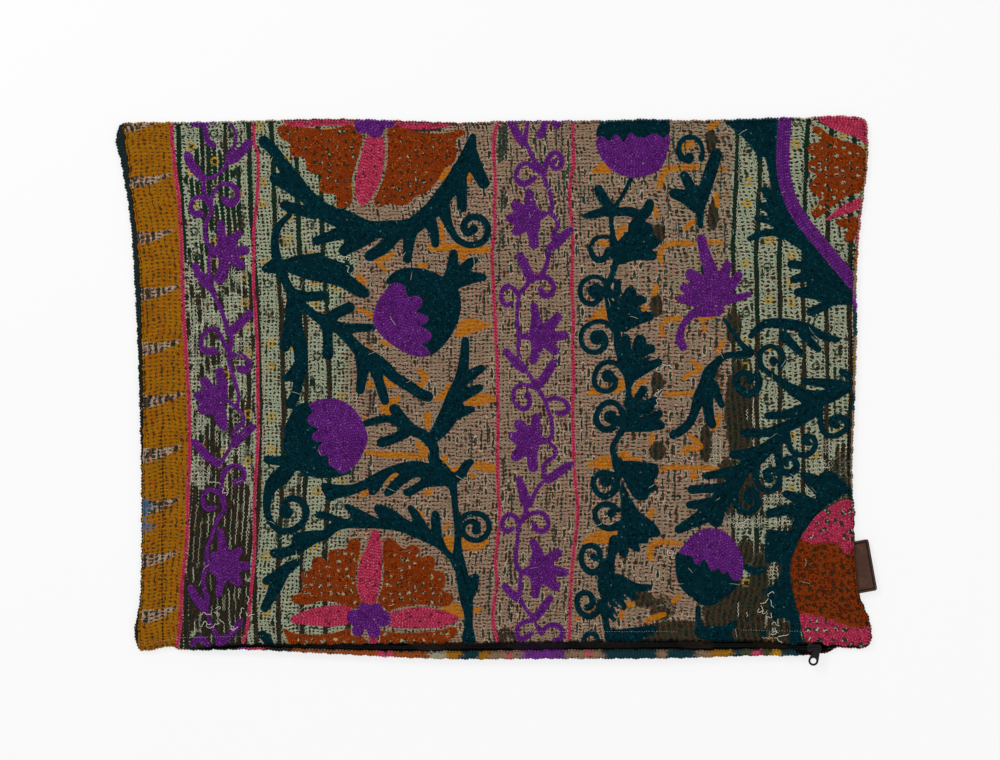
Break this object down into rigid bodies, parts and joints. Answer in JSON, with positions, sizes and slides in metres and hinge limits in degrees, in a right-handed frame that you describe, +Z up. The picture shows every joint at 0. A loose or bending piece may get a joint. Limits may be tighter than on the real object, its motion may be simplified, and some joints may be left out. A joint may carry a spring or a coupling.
{
  "type": "cushion cover",
  "caption": "Empty oblong cushion cover lying flat, quilted cotton with dense chain-stitch embroidery, zip along one long edge and a leather tab in the side seam.",
  "frame": {"origin": "middle of the cover's outline, on the surface that the back cloth lies on", "axes": "+X along the long side towards the leather tab, +Y towards the long side away from the zip, +Z up from the surface through the front cloth"},
  "size_m": [0.7099, 0.513, 0.0102],
  "materials": {
    "front_cloth": "worn quilted printed cotton covered in wool chain stitch, matt",
    "back_cloth": "worn quilted printed cotton covered in wool chain stitch, matt",
    "zip_tape": "black woven tape",
    "zip_coil": "black nylon coil",
    "zip_metal": "black lacquer, worn at the edges",
    "label_leather": "brown leather with a darker burnished edge"
  },
  "bodies": {
    "root": {"front_panel": "front_cloth", "back_panel": "back_cloth", "zip_tape_front": "zip_tape", "zip_tape_back": "zip_tape", "zip_chain": "zip_coil", "zip_slider": "zip_metal", "zip_pull": "zip_metal", "leather_label": "label_leather"}
  },
  "joints": []
}
